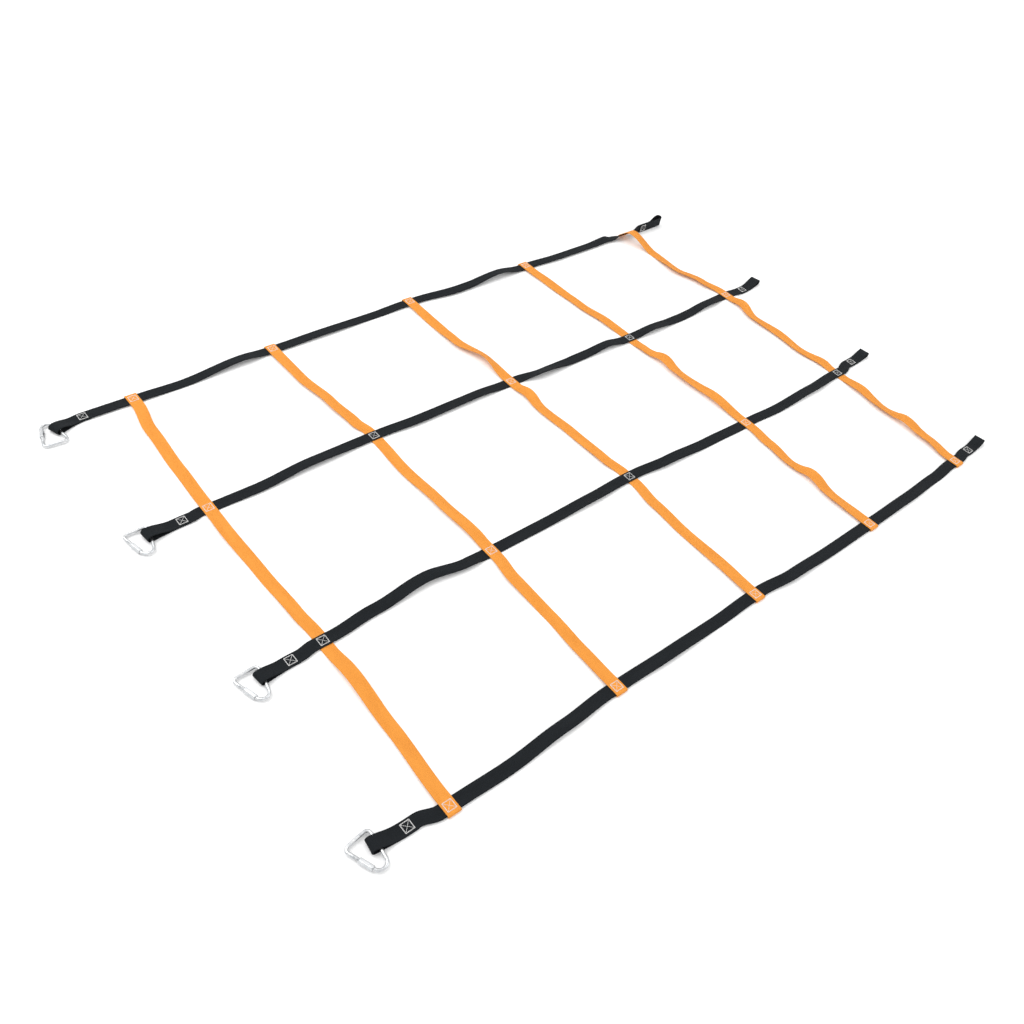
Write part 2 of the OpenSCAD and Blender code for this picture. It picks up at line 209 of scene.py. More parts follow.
def add_camera():
    heading, down = radians(CAMERA_HEADING), radians(CAMERA_DOWN)
    forward = Vector((cos(heading) * cos(down), sin(heading) * cos(down), -sin(down)))
    data = bpy.data.cameras.new("camera")
    data.lens = CAMERA_LENS
    data.sensor_width = 36
    data.clip_end = 60
    camera = link_to_scene(bpy.data.objects.new("camera", data))
    camera.matrix_world = (
        Matrix.Translation(Vector(CAMERA_AIM) - forward * CAMERA_AWAY)
        @ forward.to_track_quat("-Z", "Y").to_matrix().to_4x4()
        @ Matrix.Rotation(radians(CAMERA_ROLL), 4, "Z"))
    bpy.context.scene.camera = camera


def add_soft_light(name, place, size, power):
    data = bpy.data.lights.new(name, "AREA")
    data.shape = "DISK"
    data.size = size
    data.energy = power
    light = link_to_scene(bpy.data.objects.new(name, data))
    light.location = place
    light.rotation_euler = (-Vector(place)).to_track_quat("-Z", "Y").to_euler()


def add_studio():
    """An even sky, darker towards the horizon so that bright metal shows its shape, and soft lights."""
    world = bpy.data.worlds.new("studio")
    world.use_nodes = True
    tree = world.node_tree
    direction = tree.nodes.new("ShaderNodeTexCoord")
    split = tree.nodes.new("ShaderNodeSeparateXYZ")
    rise = tree.nodes.new("ShaderNodeMapRange")
    rise.inputs["From Max"].default_value = HORIZON_HEIGHT
    rise.inputs["To Min"].default_value = HORIZON_STRENGTH
    rise.inputs["To Max"].default_value = SKY_STRENGTH
    tree.links.new(direction.outputs["Generated"], split.inputs[0])
    tree.links.new(split.outputs["Z"], rise.inputs["Value"])
    tree.links.new(rise.outputs["Result"], tree.nodes["Background"].inputs["Strength"])
    tree.nodes["Background"].inputs["Color"].default_value = (1.0, 1.0, 1.0, 1.0)
    bpy.context.scene.world = world
    bpy.context.scene.view_settings.view_transform = "Standard"
    add_soft_light("key", (-1.6, 1.4, 3.0), 3.2, KEY_POWER)
    add_soft_light("fill", (2.2, -2.4, 2.6), 3.2, FILL_POWER)


# ---------------------------------------------------------------- Materials
class Shader:
    """A material's node tree, with short ways to add and join nodes."""

    def __init__(self, name):
        self.material = bpy.data.materials.new(name)
        self.material.use_nodes = True
        self.tree = self.material.node_tree
        self.surface = self.tree.nodes["Principled BSDF"]

    def add(self, kind, **settings):
        made = self.tree.nodes.new(kind)
        for key, value in settings.items():
            setattr(made, key, value)
        return made

    def join(self, source, target):
        self.tree.links.new(source, target)

    def feed(self, socket, value):
        """value is a number, or the socket that gives it."""
        if isinstance(value, (int, float)):
            socket.default_value = value
        else:
            self.join(value, socket)

    def math(self, operation, a, b=0.0, c=0.0):
        made = self.add("ShaderNodeMath", operation=operation)
        for socket, value in zip(made.inputs, (a, b, c)):
            self.feed(socket, value)
        return made.outputs[0]

    def ramp(self, factor, *stops):
        made = self.add("ShaderNodeValToRGB")
        elements = made.color_ramp.elements
        while len(elements) < len(stops):
            elements.new(0.5)
        for element, (place, colour) in zip(elements, stops):
            element.position = place
            element.color = (*colour, 1.0)
        self.join(factor, made.inputs["Fac"])
        return made.outputs["Color"]

    def noise(self, place, scale, detail=3.0, roughness=0.5):
        made = self.add("ShaderNodeTexNoise")
        made.inputs["Scale"].default_value = scale
        made.inputs["Detail"].default_value = detail
        made.inputs["Roughness"].default_value = roughness
        self.join(place, made.inputs["Vector"])
        return made.outputs["Fac"]

    def stretched(self, place, *scale):
        made = self.add("ShaderNodeMapping")
        made.inputs["Scale"].default_value = scale
        self.join(place, made.inputs["Vector"])
        return made.outputs["Vector"]

    def bump(self, height, distance, strength=1.0, after=None):
        made = self.add("ShaderNodeBump")
        made.inputs["Distance"].default_value = distance * MM
        made.inputs["Strength"].default_value = strength
        self.join(height, made.inputs["Height"])
        if after is not None:
            self.join(after, made.inputs["Normal"])
        return made.outputs["Normal"]

    def grid(self):
        """The piece's own flat coordinates in millimetres: (vector, across, along)."""
        place = self.add("ShaderNodeUVMap", uv_map="flat").outputs["UV"]
        split = self.add("ShaderNodeSeparateXYZ")
        self.join(place, split.inputs[0])
        return place, split.outputs["X"], split.outputs["Y"]


def hump(shader, share):
    """0 at both ends of a share from 0 to 1, and 1 in its middle."""
    off = shader.math("SUBTRACT", shader.math("MULTIPLY", share, 2.0), 1.0)
    return shader.math("SUBTRACT", 1.0, shader.math("MULTIPLY", off, off))


def webbing_material(name, painted_groove_shade, colour, light, sheen):
    """Flat woven webbing: fine warp ribs along the strap, crossed in a herringbone, with painted shade
    in the grooves between yarns and painted light on the yarn crests.
    """
    rib, pick, turns = 0.78, 1.5, 4.0
    s = Shader(name)
    place, across, along = s.grid()
    ribs = s.math("DIVIDE", across, rib)
    number = s.math("FLOOR", ribs)
    step = s.math("DIVIDE", s.math("PINGPONG", number, turns), turns)
    rows = s.math("ADD", s.math("DIVIDE", along, pick), step)
    yarn = hump(s, s.math("FRACT", ribs))
    crossing_yarn = hump(s, s.math("FRACT", rows))
    weave = s.math("MULTIPLY", yarn, s.math("MULTIPLY_ADD", crossing_yarn, 0.65, 0.35))
    patchy = s.noise(s.stretched(place, 0.05, 0.012, 1), 1.0, 4.0)
    fuzz = s.noise(s.stretched(place, 2.2, 0.9, 1), 1.0, 4.0, 0.7)
    tone = s.math("MULTIPLY_ADD", fuzz, 0.35, s.math("MULTIPLY_ADD", patchy, 0.35, -0.35))
    # Base colour follows the weave's relief: the darkest stop is painted shade in the grooves between
    # yarns, the lightest is painted light on the yarn crests, with random tone on top
    s.join(
        s.ramp(s.math("ADD", weave, tone), (0.05, painted_groove_shade), (0.5, colour), (1.0, light)),
        s.surface.inputs["Base Color"])
    s.join(
        s.math("MULTIPLY_ADD", fuzz, 0.2, 0.62),
        s.surface.inputs["Roughness"])
    s.join(
        s.bump(weave, 0.22, 0.9, s.bump(fuzz, 0.08, 0.6)),
        s.surface.inputs["Normal"])
    s.surface.inputs["Specular IOR Level"].default_value = 0.1
    s.surface.inputs["Sheen Weight"].default_value = sheen
    s.surface.inputs["Sheen Roughness"].default_value = 0.45
    return s.material


def thread_material():
    """Bonded thread, twisted from plies, with painted shade between the plies and painted light on
    their crests.
    """
    s = Shader("thread")
    place, across, along = s.grid()
    turn = s.math("FRACT", s.math("ADD", s.math("MULTIPLY", along, 0.9), across))
    ply = hump(s, turn)
    fuzz = s.noise(s.stretched(place, 3.0, 1.5, 1), 1.0, 3.0)
    # Base colour follows the plies' relief: the darkest stop is painted shade between the plies, the
    # lightest is painted light on their crests, with random tone from the fuzz
    s.join(
        s.ramp(s.math("MULTIPLY_ADD", fuzz, 0.4, s.math("MULTIPLY", ply, 0.6)),
               (0.1, (0.42, 0.42, 0.41)), (0.5, (0.7, 0.69, 0.68)), (0.9, (0.85, 0.85, 0.84))),
        s.surface.inputs["Base Color"])
    s.join(s.math("MULTIPLY_ADD", fuzz, 0.2, 0.45), s.surface.inputs["Roughness"])
    s.join(s.bump(ply, 0.1, 0.8), s.surface.inputs["Normal"])
    s.surface.inputs["Sheen Weight"].default_value = 0.2
    return s.material


def zinc_material():
    """Bright zinc plating over drawn steel bar: faint drawing lines, cloudy tone and rubbed spots."""
    s = Shader("bright zinc")
    place, _across, _along = s.grid()
    cloud = s.noise(s.stretched(place, 0.12, 0.12, 1), 1.0, 4.0)
    drawn = s.noise(s.stretched(place, 4.0, 0.08, 1), 1.0, 4.0, 0.6)
    speck = s.noise(s.stretched(place, 1.8, 1.8, 1), 1.0, 5.0, 0.7)
    s.join(
        s.ramp(cloud, (0.3, (0.5, 0.52, 0.54)), (0.55, (0.64, 0.65, 0.66)),
               (0.75, (0.76, 0.76, 0.75))),
        s.surface.inputs["Base Color"])
    s.join(
        s.math("ADD", s.math("MULTIPLY_ADD", drawn, 0.14, 0.13), s.math("MULTIPLY", speck, 0.14)),
        s.surface.inputs["Roughness"])
    s.join(
        s.bump(drawn, 0.02, 0.5, s.bump(speck, 0.012, 0.6)),
        s.surface.inputs["Normal"])
    s.surface.inputs["Metallic"].default_value = 1.0
    return s.material


def floor_material():
    s = Shader("pale floor")
    place = s.add("ShaderNodeTexCoord").outputs["Object"]
    grain = s.noise(place, 40.0)
    s.join(s.ramp(grain, (0.3, (0.93, 0.93, 0.93)), (0.7, (0.95, 0.95, 0.95))),
           s.surface.inputs["Base Color"])
    s.surface.inputs["Roughness"].default_value = 0.8
    s.surface.inputs["Specular IOR Level"].default_value = 0.1
    return s.material


# ---------------------------------------------------------------- Meshes
def skin(rings, flats, girth):
    """A closed skin through rings of points, and each corner's flat coordinates.

    flats has (across, along) for each ring's points, and one more than it has points, and girth is
    how far round a ring goes."""
    count = len(rings[0])
    points = [p for ring in rings for p in ring]
    faces, corners = [], []
    for k in range(len(rings) - 1):
        for c in range(count):
            d = (c + 1) % count
            faces.append((k * count + c, k * count + d, (k + 1) * count + d, (k + 1) * count + c))
            far = girth if d == 0 else flats[k][d][0]
            corners += [
                flats[k][c], (far, flats[k][d][1]), (far, flats[k + 1][d][1]), flats[k + 1][c]]
    for ring, order in ((0, -1), (len(rings) - 1, 1)):
        face = [ring * count + c for c in range(count)][::order]
        faces.append(tuple(face))
        corners += [flats[ring][index - ring * count] for index in face]
    return points, faces, corners


def add_piece(name, skins, material, body, node, crease=None):
    """One object made of skins, standing in for a node of the frame."""
    points, faces, corners = [], [], []
    for more_points, more_faces, more_corners in skins:
        start = len(points)
        points += more_points
        faces += [tuple(start + index for index in face) for face in more_faces]
        corners += more_corners
    mesh = bpy.data.meshes.new(name)
    mesh.from_pydata([Vector(p) * MM for p in points], [], faces)
    layer = mesh.uv_layers.new(name="flat")
    layer.data.foreach_set("uv", [number for corner in corners for number in corner])
    mesh.polygons.foreach_set("use_smooth", [True] * len(faces))
    if crease is not None:
        mesh.set_sharp_from_angle(angle=radians(crease))
    mesh.materials.append(material)
    obj = link_to_scene(bpy.data.objects.new(name, mesh))
    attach(obj, body)
    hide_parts(node)
    return obj


# ---------------------------------------------------------------- Where things are sewn
def across_dir(tilt):
    return Vector((0, cos(radians(tilt)), sin(radians(tilt))))


def above_dir(tilt):
    return Vector((0, -sin(radians(tilt)), cos(radians(tilt))))


def folded(i):
    """Whether rungs fold round this upright."""
    return i in (0, len(LETTERS) - 1)


def upright_over(i, j):
    return not folded(i) and (i + j) % 2 == 0


def upright_level(i, j):
    return 1.5 if folded(i) or upright_over(i, j) else 0.5


def rung_level(i, j):
    return 2.5 if folded(i) else 0.5 if upright_over(i, j) else 1.5


def sewn_place(node, tilt, layers):
    """The middle of the ground side of what is sewn together under a node's stitches."""
    low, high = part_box(node)
    middle = (low + high) / 2 / MM
    return middle - above_dir(tilt) * (layers * WEB_T + STITCH_H / 2)


class Sewn:
    """A stitched box: its place on the ground side, its tilt, and its layers of webbing."""

    def __init__(self, node, tilt, layers):
        self.node = node
        self.tilt = tilt
        self.layers = layers
        self.base = sewn_place(node, tilt, layers)
        self.matrix = Matrix.Translation(self.base) @ Matrix.Rotation(radians(tilt), 4, "X")
        self.inverse = self.matrix.inverted()


def crossing_tilt(i, j):
    return ROLLED_TILT if (i, j) == (0, LAST) else 0.0


CROSSINGS = [
    [Sewn(f"crossing_stitch_{letter}{number}", crossing_tilt(i, j), 3 if folded(i) else 2)
     for j, number in enumerate(RUNGS)]
    for i, letter in enumerate(LETTERS)]
TOP_SEWN = [Sewn(f"top_eye_stitch_{letter}", 0.0, 2) for letter in LETTERS]
BOTTOM_SEWN = [
    Sewn(f"bottom_eye_stitch_{letter}", ROLLED_EYE_TILT if i == 0 else 0.0, 2)
    for i, letter in enumerate(LETTERS)]


# ---------------------------------------------------------------- Straps
def mix(a, b, share):
    return a + (b - a) * share


def ease(share):
    return (1 - cos(pi * share)) / 2


def edge_rise(tilt):
    return WEB_W / 2 * abs(sin(radians(tilt)))


def steps(start, end, gap):
    """Even numbers from start up to but not including end."""
    count = max(1, ceil(abs(end - start) / gap))
    return [mix(start, end, k / count) for k in range(count)]


def held(sewn, dx, dy, level):
    """A lay point where a strap is sewn: (x, y, height of its lowest edge, tilt)."""
    tilt = radians(sewn.tilt)
    return (sewn.base.x + dx, sewn.base.y + dy - level * WEB_T * sin(tilt),
            sewn.base.z - edge_rise(sewn.tilt) + (level - 0.5) * WEB_T * cos(tilt), sewn.tilt)


def lay_run(points, main):
    """The lay points and those between them: even along the main axis, eased in all else."""
    run = []
    for p, q in zip(points, points[1:]):
        length = abs(q[main] - p[main])
        count = max(1, ceil(length / (FINE if length < FLAT + 0.1 else COARSE)))
        for s in range(count):
            share = s / count
            run.append([mix(p[k], q[k], share if k == main else ease(share)) for k in range(4)])
    return run + [list(points[-1])]


def course(middles, k):
    """The direction in which a strap runs on at one of its rings."""
    return (middles[min(k + 1, len(middles) - 1)] - middles[max(k - 1, 0)]).normalized()


def free_rings(run):
    """(middle, width direction) for a free stretch, tilted about its own direction."""
    middles = [
        Vector((x, y, low + edge_rise(tilt) + WEB_T / 2 * cos(radians(tilt))))
        for x, y, low, tilt in run]
    rings = []
    for k, middle in enumerate(middles):
        d = course(middles, k)
        side = Vector((0, 0, 1)).cross(d).normalized()
        tilt = radians(run[k][3])
        rings.append((middle, side * cos(tilt) + d.cross(side) * sin(tilt)))
    return rings


def eye_bend(eye):
    return EYE_R * eye[2] + WEB_T / 2


def eye_reach(eye):
    return eye[0] - eye_bend(eye) - WEB_T / 2


def eye_share(eye, u):
    return max(u, 0) / eye_reach(eye)


def eye_side(eye, u):
    share = eye_share(eye, u)
    return eye[1] * (share ** SWAY_POWER if share < 1 else 1 + SWAY_POWER * (share - 1))


def eye_turn(eye, u):
    grown = min(eye_share(eye, u), 1) ** (SWAY_POWER - 1)
    return atan(SWAY_POWER * eye[1] * grown / eye_reach(eye))


def eye_line(reach, bend_r):
    """The middle of an eye's webbing, from its tail on the ground side round to its box."""
    line = [(u, WEB_T / 2) for u in steps(-TAIL, BOX_SIDE / 2 + 2, FINE)]
    line += [(u, WEB_T / 2) for u in steps(BOX_SIDE / 2 + 2, reach, 3.0)]
    for k in range(18):
        angle = pi * (k / 18 - 0.5)
        line.append((reach + bend_r * cos(angle), WEB_T / 2 + bend_r * (1 + sin(angle))))
    for k in range(24):
        line.append((mix(reach, FLAT, k / 24), mix(WEB_T / 2 + 2 * bend_r, 1.5 * WEB_T, ease(k / 24))))
    return line + [(u, 1.5 * WEB_T) for u in steps(FLAT, 0, FINE)]


def eye_rings(sewn, eye, out):
    rings = []
    wide, up = across_dir(sewn.tilt), above_dir(sewn.tilt)
    for u, w in eye_line(eye_reach(eye), eye_bend(eye)):
        turn = eye_turn(eye, u)
        rings.append((
            sewn.base + out * u + wide * eye_side(eye, u) + up * w,
            wide * cos(turn) - out * sin(turn)))
    return rings


def upright_rings(i):
    points = [held(TOP_SEWN[i], u, 0, 1.5) for u in (0, FLAT)]
    for j in range(LAST + 1):
        here = CROSSINGS[i][j]
        points += [held(here, s * FLAT, 0, upright_level(i, j)) for s in (-1, 0, 1)]
        if j < LAST:
            there = CROSSINGS[i][j + 1]
            for share, side, low, tilt in UPRIGHT_LAY[i][j]:
                b = mix(here.base, there.base, share)
                points.append((b.x, b.y + side, low, tilt))
    points += [held(BOTTOM_SEWN[i], u, 0, 1.5) for u in (-FLAT, 0)]
    return (
        eye_rings(TOP_SEWN[i], TOP_EYES[i], Vector((-1, 0, 0)))
        + free_rings(lay_run(points, 0))
        + eye_rings(BOTTOM_SEWN[i], BOTTOM_EYES[i], Vector((1, 0, 0)))[::-1])


def fold_rings(sewn, out, up):
    """A rung's end, folded round an outer upright, from its tail on the ground side to its box."""
    edge = WEB_W / 2 + FOLD_GAP
    line = [(v, 0.5 * WEB_T) for v in steps(-FOLD_TAIL, edge, FINE)]
    for k in range(17):
        angle = pi * (k / 16 - 0.5)
        line.append((edge + WEB_T * cos(angle), WEB_T * (1.5 + sin(angle))))
    line += [(v, 2.5 * WEB_T) for v in steps(edge, -FLAT, FINE)[1:]]
    return [(sewn.base + out * v + up * w, Vector((1, 0, 0))) for v, w in line]


def arch_rings():
    """The last rung's curve from the rolled crossing down to the ground."""
    sewn = CROSSINGS[0][LAST]
    out = across_dir(ROLLED_TILT)
    leave = sewn.base - out * FLAT + above_dir(ROLLED_TILT) * 2.5 * WEB_T
    land = Vector((EVEN_LAST_X + ARCH_LANDING[0], sewn.base.y - ARCH_LANDING[1], WEB_T / 2))
    pulls = [leave, leave - out * ARCH_PULL[0], land + Vector((0, ARCH_PULL[1], 0)), land]
    middles = []
    for k in range(40):
        f, g = k / 40, 1 - k / 40
        middles.append(
            pulls[0] * g ** 3 + pulls[1] * 3 * f * g * g + pulls[2] * 3 * f * f * g + pulls[3] * f ** 3)
    return [
        (middle, Vector((0, 0, 1)).cross(course(middles, k)).normalized())
        for k, middle in enumerate(middles)]


def rung_rings(j):
    first = CROSSINGS[0][j]
    if j == LAST:
        points = [(EVEN_LAST_X + ARCH_LANDING[0], first.base.y - ARCH_LANDING[1], 0, 0)]
    else:
        points = [held(first, 0, -FLAT, 2.5)]
    for i in range(len(LETTERS) - 1):
        here, there = CROSSINGS[i][j], CROSSINGS[i + 1][j]
        for share, side, low, tilt in RUNG_LAY[j][i]:
            b = mix(here.base, there.base, share)
            points.append((b.x + side, b.y, low, tilt))
        if i + 2 < len(LETTERS):
            points += [held(there, 0, s * FLAT, rung_level(i + 1, j)) for s in (1, 0, -1)]
    points.append(held(CROSSINGS[-1][j], 0, FLAT, 2.5))
    return (
        fold_rings(first, across_dir(first.tilt), above_dir(first.tilt))
        + (arch_rings() if j == LAST else [])
        + free_rings(lay_run(points, 1))
        + fold_rings(CROSSINGS[-1][j], Vector((0, -1, 0)), Vector((0, 0, 1)))[::-1])


def web_section():
    """The webbing's outline as (across, up, way round), with rounded woven edges."""
    half, up = WEB_W / 2 - EDGE_ROUND, WEB_T / 2 - SKIN_GAP
    outline = [(mix(-half, half, c / COLUMNS), up) for c in range(COLUMNS)]
    for side, turn in ((1, -1), (-1, -1)):
        for k in range(EDGE_STEPS * 2):
            angle = side * pi / 2 + turn * pi * k / (EDGE_STEPS * 2)
            outline.append((side * half + EDGE_ROUND * cos(angle), up * sin(angle)))
        if side == 1:
            outline += [(mix(half, -half, c / COLUMNS), -up) for c in range(COLUMNS)]
    way, section = 0.0, []
    for k, (x, y) in enumerate(outline):
        section.append((x, y, way))
        x2, y2 = outline[(k + 1) % len(outline)]
        way += hypot(x2 - x, y2 - y)
    return section, way


def line_distance(x, y):
    """How far a point of a stitched box's plane is from its nearest line of stitches."""
    half = BOX_SIDE / 2 - ROW_GAP
    square = abs(max(abs(x), abs(y)) - half)
    diagonal = min(abs(x - y), abs(x + y)) / hypot(1, 1)
    return min(square, diagonal) if max(abs(x), abs(y)) < half else square


def press(point, boxes):
    """Sinks the webbing's outer faces where stitches pull it in."""
    for sewn in boxes:
        if (point - sewn.base).length > BOX_SIDE:
            continue
        local = sewn.inverse @ point
        top = sewn.layers * WEB_T
        sink = PRESS_DEPTH * exp(-(line_distance(local.x, local.y) / PRESS_REACH) ** 2)
        if abs(local.z - top) < WEB_T / 3:
            local.z -= sink
        elif abs(local.z) < WEB_T / 3:
            local.z += sink
        else:
            return point
        return sewn.matrix @ local
    return point


def add_strap(name, rings, boxes, material, node, seed):
    """One length of webbing through its rings, and the sheet that it is."""
    section, girth = web_section()
    middles = [r[0] for r in rings]
    along, skins, flats = 0.0, [], []
    for k, (middle, wide) in enumerate(rings):
        if k:
            along += (middle - middles[k - 1]).length
        up = course(middles, k).cross(wide).normalized()
        ends = min(k, len(rings) - 1 - k)
        thick = END_SHARES[min(ends, 2)]
        ring = []
        for x, y, _way in section:
            edge = max(0.0, abs(x) / (WEB_W / 2) - FRILL_FROM) / (1 - FRILL_FROM)
            frill = FRILL * edge * noise.noise(Vector((seed, x * 0.05, along * 0.06)))
            point = middle + wide * x + up * (y * thick + frill)
            ring.append(press(point, boxes))
        skins.append(ring)
        flats.append([(way, along) for _x, _y, way in section])
    obj = add_piece(name, [skin(skins, flats, girth)], material, "net", node)
    return obj


# ---------------------------------------------------------------- Stitches
def stitch_rows():
    """The stitched box's lines as (start, end): two rows round it, and a cross inside."""
    rows = []
    for inset in (ROW_INSET, ROW_INSET + ROW_GAP):
        h = BOX_SIDE / 2 - inset
        corners = [(-h, -h), (h, -h), (h, h), (-h, h)]
        rows += list(zip(corners, corners[1:] + corners[:1]))
    d = BOX_SIDE / 2 - ROW_INSET - 2 * ROW_GAP
    return rows + [((-d, -d), (d, d)), ((-d, d), (d, -d))]


def stitch_skin(start, end, matrix, lift, up, along):
    """One stitch: a short arch of thread whose ends go down into the webbing."""
    a, b = Vector((*start, 0)), Vector((*end, 0))
    d = (b - a).normalized()
    side = Vector((0, 0, 1)).cross(d)
    rings, flats = [], []
    for k in range(THREAD_STEPS):
        share = k / (THREAD_STEPS - 1)
        arch = sin(pi * share) ** 0.6
        middle = mix(a, b, share) + Vector((0, 0, lift + up * mix(-0.3, 0.06, arch)))
        wide, tall = THREAD_W / 2 * mix(0.55, 1, arch), THREAD_T / 2 * mix(0.6, 1, arch)
        ring = []
        for c in range(THREAD_STEPS):
            angle = 2 * pi * c / THREAD_STEPS
            ring.append(
                matrix @ (middle + side * wide * cos(angle) + Vector((0, 0, tall * sin(angle)))))
        rings.append(ring)
        flats.append([(c / THREAD_STEPS, along + share * STITCH_LEN) for c in range(THREAD_STEPS)])
    return skin(rings, flats, 1.0)


def add_stitches(sewn, name, seed):
    """The thread on both faces of a stitched box."""
    dice = random.Random(seed)
    skins = []
    for lift, up in ((sewn.layers * WEB_T - SKIN_GAP, 1), (SKIN_GAP, -1)):
        for start, end in stitch_rows():
            a, b = Vector((*start, 0)), Vector((*end, 0))
            count = round((b - a).length / STITCH_LEN)
            for k in range(count):
                p = mix(a, b, (k + STITCH_SPARE) / count)
                q = mix(a, b, (k + 1 - STITCH_SPARE) / count)
                aside = dice.uniform(-STITCH_SHAKE, STITCH_SHAKE)
                ahead = dice.uniform(-STITCH_SHAKE, STITCH_SHAKE)
                shake = Vector((aside, ahead, 0))
                skins.append(
                    stitch_skin((p + shake)[:2], (q + shake)[:2], sewn.matrix, lift, up, k * 3.0))
    return add_piece(name, skins, THREAD, "net", sewn.node)


# ---------------------------------------------------------------- Links
LINK_AXIS = LINK_LONG - LINK_ROUND
HALF_SHARP = acos(LINK_ROUND / hypot(LINK_SHORT / 2, LINK_AXIS)) - atan(2 * LINK_AXIS / LINK_SHORT)
BASE_ANGLE = pi / 2 - HALF_SHARP
SHARP_ANGLE = 2 * HALF_SHARP
# Length of each long side between corner points, and what the bends cut off its ends
LINK_SIDE = LINK_SHORT / 2 / sin(HALF_SHARP)
BASE_CUT = LINK_BEND / tan(BASE_ANGLE / 2)
SHARP_CUT = LINK_ROUND / tan(HALF_SHARP)
SHORT_HEADING = 1.5 * pi - BASE_ANGLE
GATE_HEADING = 2.5 * pi - 2 * BASE_ANGLE
GATE_SIDE = LINK_SIDE - SHARP_CUT
SLEEVE_TO = GATE_SIDE - SLEEVE_STOP
GATE_TO = SLEEVE_TO - THREAD_HOLD


def heading(angle):
    return Vector((cos(angle), sin(angle), 0))


def blunt_corner(letter):
    bend_at = WEB_W / 2 + LINK_GAPS[letter]
    return Vector((0, GATE_SIDE - bend_at if letter == TURNED_OVER else bend_at + BASE_CUT, 0))


def far_corner(letter):
    return blunt_corner(letter) + heading(SHORT_HEADING) * LINK_SHORT


def on_gate_side(letter, distance):
    return far_corner(letter) + heading(GATE_HEADING) * distance


def link_matrix(letter):
    """A link's place: its bar lies on its swing axis, where the eye holds it."""
    swing = next(j for j in frame["joints"] if j["name"] == f"link_{letter}_swing")
    turn = atan2(-swing["axis"][0], swing["axis"][1])
    return (
        Matrix.Translation(Vector(swing["pos_m"]) / MM)
        @ Matrix.Rotation(turn, 4, "Z")
        @ Matrix.Rotation(radians(-LINK_SLOPE), 4, "Y")
        @ Matrix.Rotation(pi if letter == TURNED_OVER else 0, 4, "X"))


def straight(p, q, gap):
    d = (q - p).normalized()
    return [(mix(p, q, k), d) for k in steps(0, 1, gap / (q - p).length)]


def bend(corner, radius, start, turn):
    """A corner's bend, as (middle, direction), for a path that turns left."""
    centre = corner - heading(start + turn / 2) * (radius / cos(turn / 2))
    return [
        (centre + heading(start + turn * k / BAR_STEPS) * radius,
         heading(start + turn * k / BAR_STEPS + pi / 2))
        for k in range(BAR_STEPS)]


def link_path(letter):
    """The link's centreline, from the sleeve's own threaded end round to the end it locks on."""
    blunt, far = blunt_corner(letter), far_corner(letter)
    sharp = blunt - Vector((0, LINK_SIDE, 0))
    gap = 1.5
    lock = straight(on_gate_side(letter, GATE_TO), on_gate_side(letter, GATE_SIDE), THREAD_PITCH / 8)
    back = straight(sharp + Vector((0, SHARP_CUT, 0)), blunt - Vector((0, BASE_CUT, 0)), gap)
    short = straight(
        blunt + heading(SHORT_HEADING) * BASE_CUT, far - heading(SHORT_HEADING) * BASE_CUT, gap)
    fixed = straight(
        on_gate_side(letter, BASE_CUT), on_gate_side(letter, GATE_TO - GATE), THREAD_PITCH / 8)
    return (
        lock + bend(sharp, LINK_ROUND, -pi + SHARP_ANGLE, pi - SHARP_ANGLE)
        + back + bend(blunt, LINK_BEND, 0, pi - BASE_ANGLE)
        + short + bend(far, LINK_BEND, pi - BASE_ANGLE, pi - BASE_ANGLE)
        + fixed + [(on_gate_side(letter, GATE_TO - GATE), heading(GATE_HEADING))])


def ridge(share):
    """A screw thread's outline across one pitch, from 0 at its root to 1 at its crest."""
    share -= floor(share)
    return min(1.0, 2.4 * min(share, 1 - share))


def add_link(letter):
    matrix = link_matrix(letter)
    path = link_path(letter)
    fixed_end, lock_end = path[-1][0], path[0][0]
    thread_len = GATE_TO - GATE - (SLEEVE_TO - SLEEVE_LEN - SLEEVE_TRAVEL)
    rings, flats, along = [], [], 0.0
    for k, (middle, d) in enumerate(path):
        if k:
            along += (middle - path[k - 1][0]).length
        side = Vector((0, 0, 1)).cross(d)
        from_fixed, from_lock = (middle - fixed_end).length, (middle - lock_end).length
        threaded = from_fixed < thread_len or from_lock < THREAD_HOLD
        fade = min(1.0, (thread_len - from_fixed) / THREAD_FADE) if from_fixed < thread_len else 1.0
        tip = min(from_fixed, from_lock)
        ring = []
        for c in range(BAR_STEPS):
            angle = 2 * pi * c / BAR_STEPS
            radius = BAR_R
            if threaded:
                radius -= THREAD_DEPTH * fade * (1 - ridge(along / THREAD_PITCH + c / BAR_STEPS))
            radius = min(radius, BAR_R - BAR_CHAMFER + tip)
            rise = Vector((0, 0, radius * sin(angle)))
            ring.append(matrix @ (middle + side * radius * cos(angle) + rise))
        rings.append(ring)
        flats.append([(2 * pi * BAR_R * c / BAR_STEPS, along) for c in range(BAR_STEPS)])
    add_piece(
        f"link_bar_{letter}", [skin(rings, flats, 2 * pi * BAR_R)], ZINC,
        f"link_{letter}", f"link_{letter}", crease=50)


def sleeve_outline():
    """(distance along, radius limit) round the sleeve's outside, with its chamfered ends."""
    corner = SLEEVE_FLATS / 2 / cos(radians(30))
    chamfer = corner - SLEEVE_FLATS / 2 + FLATS_CUT
    start = [(chamfer * k / 5, corner - chamfer * (1 - k / 5)) for k in range(6)]
    middle = [(d, corner) for d in steps(chamfer + 1, SLEEVE_LEN - chamfer - 1, 2.0)]
    return start + middle + [(SLEEVE_LEN - d, limit) for d, limit in start[::-1]]


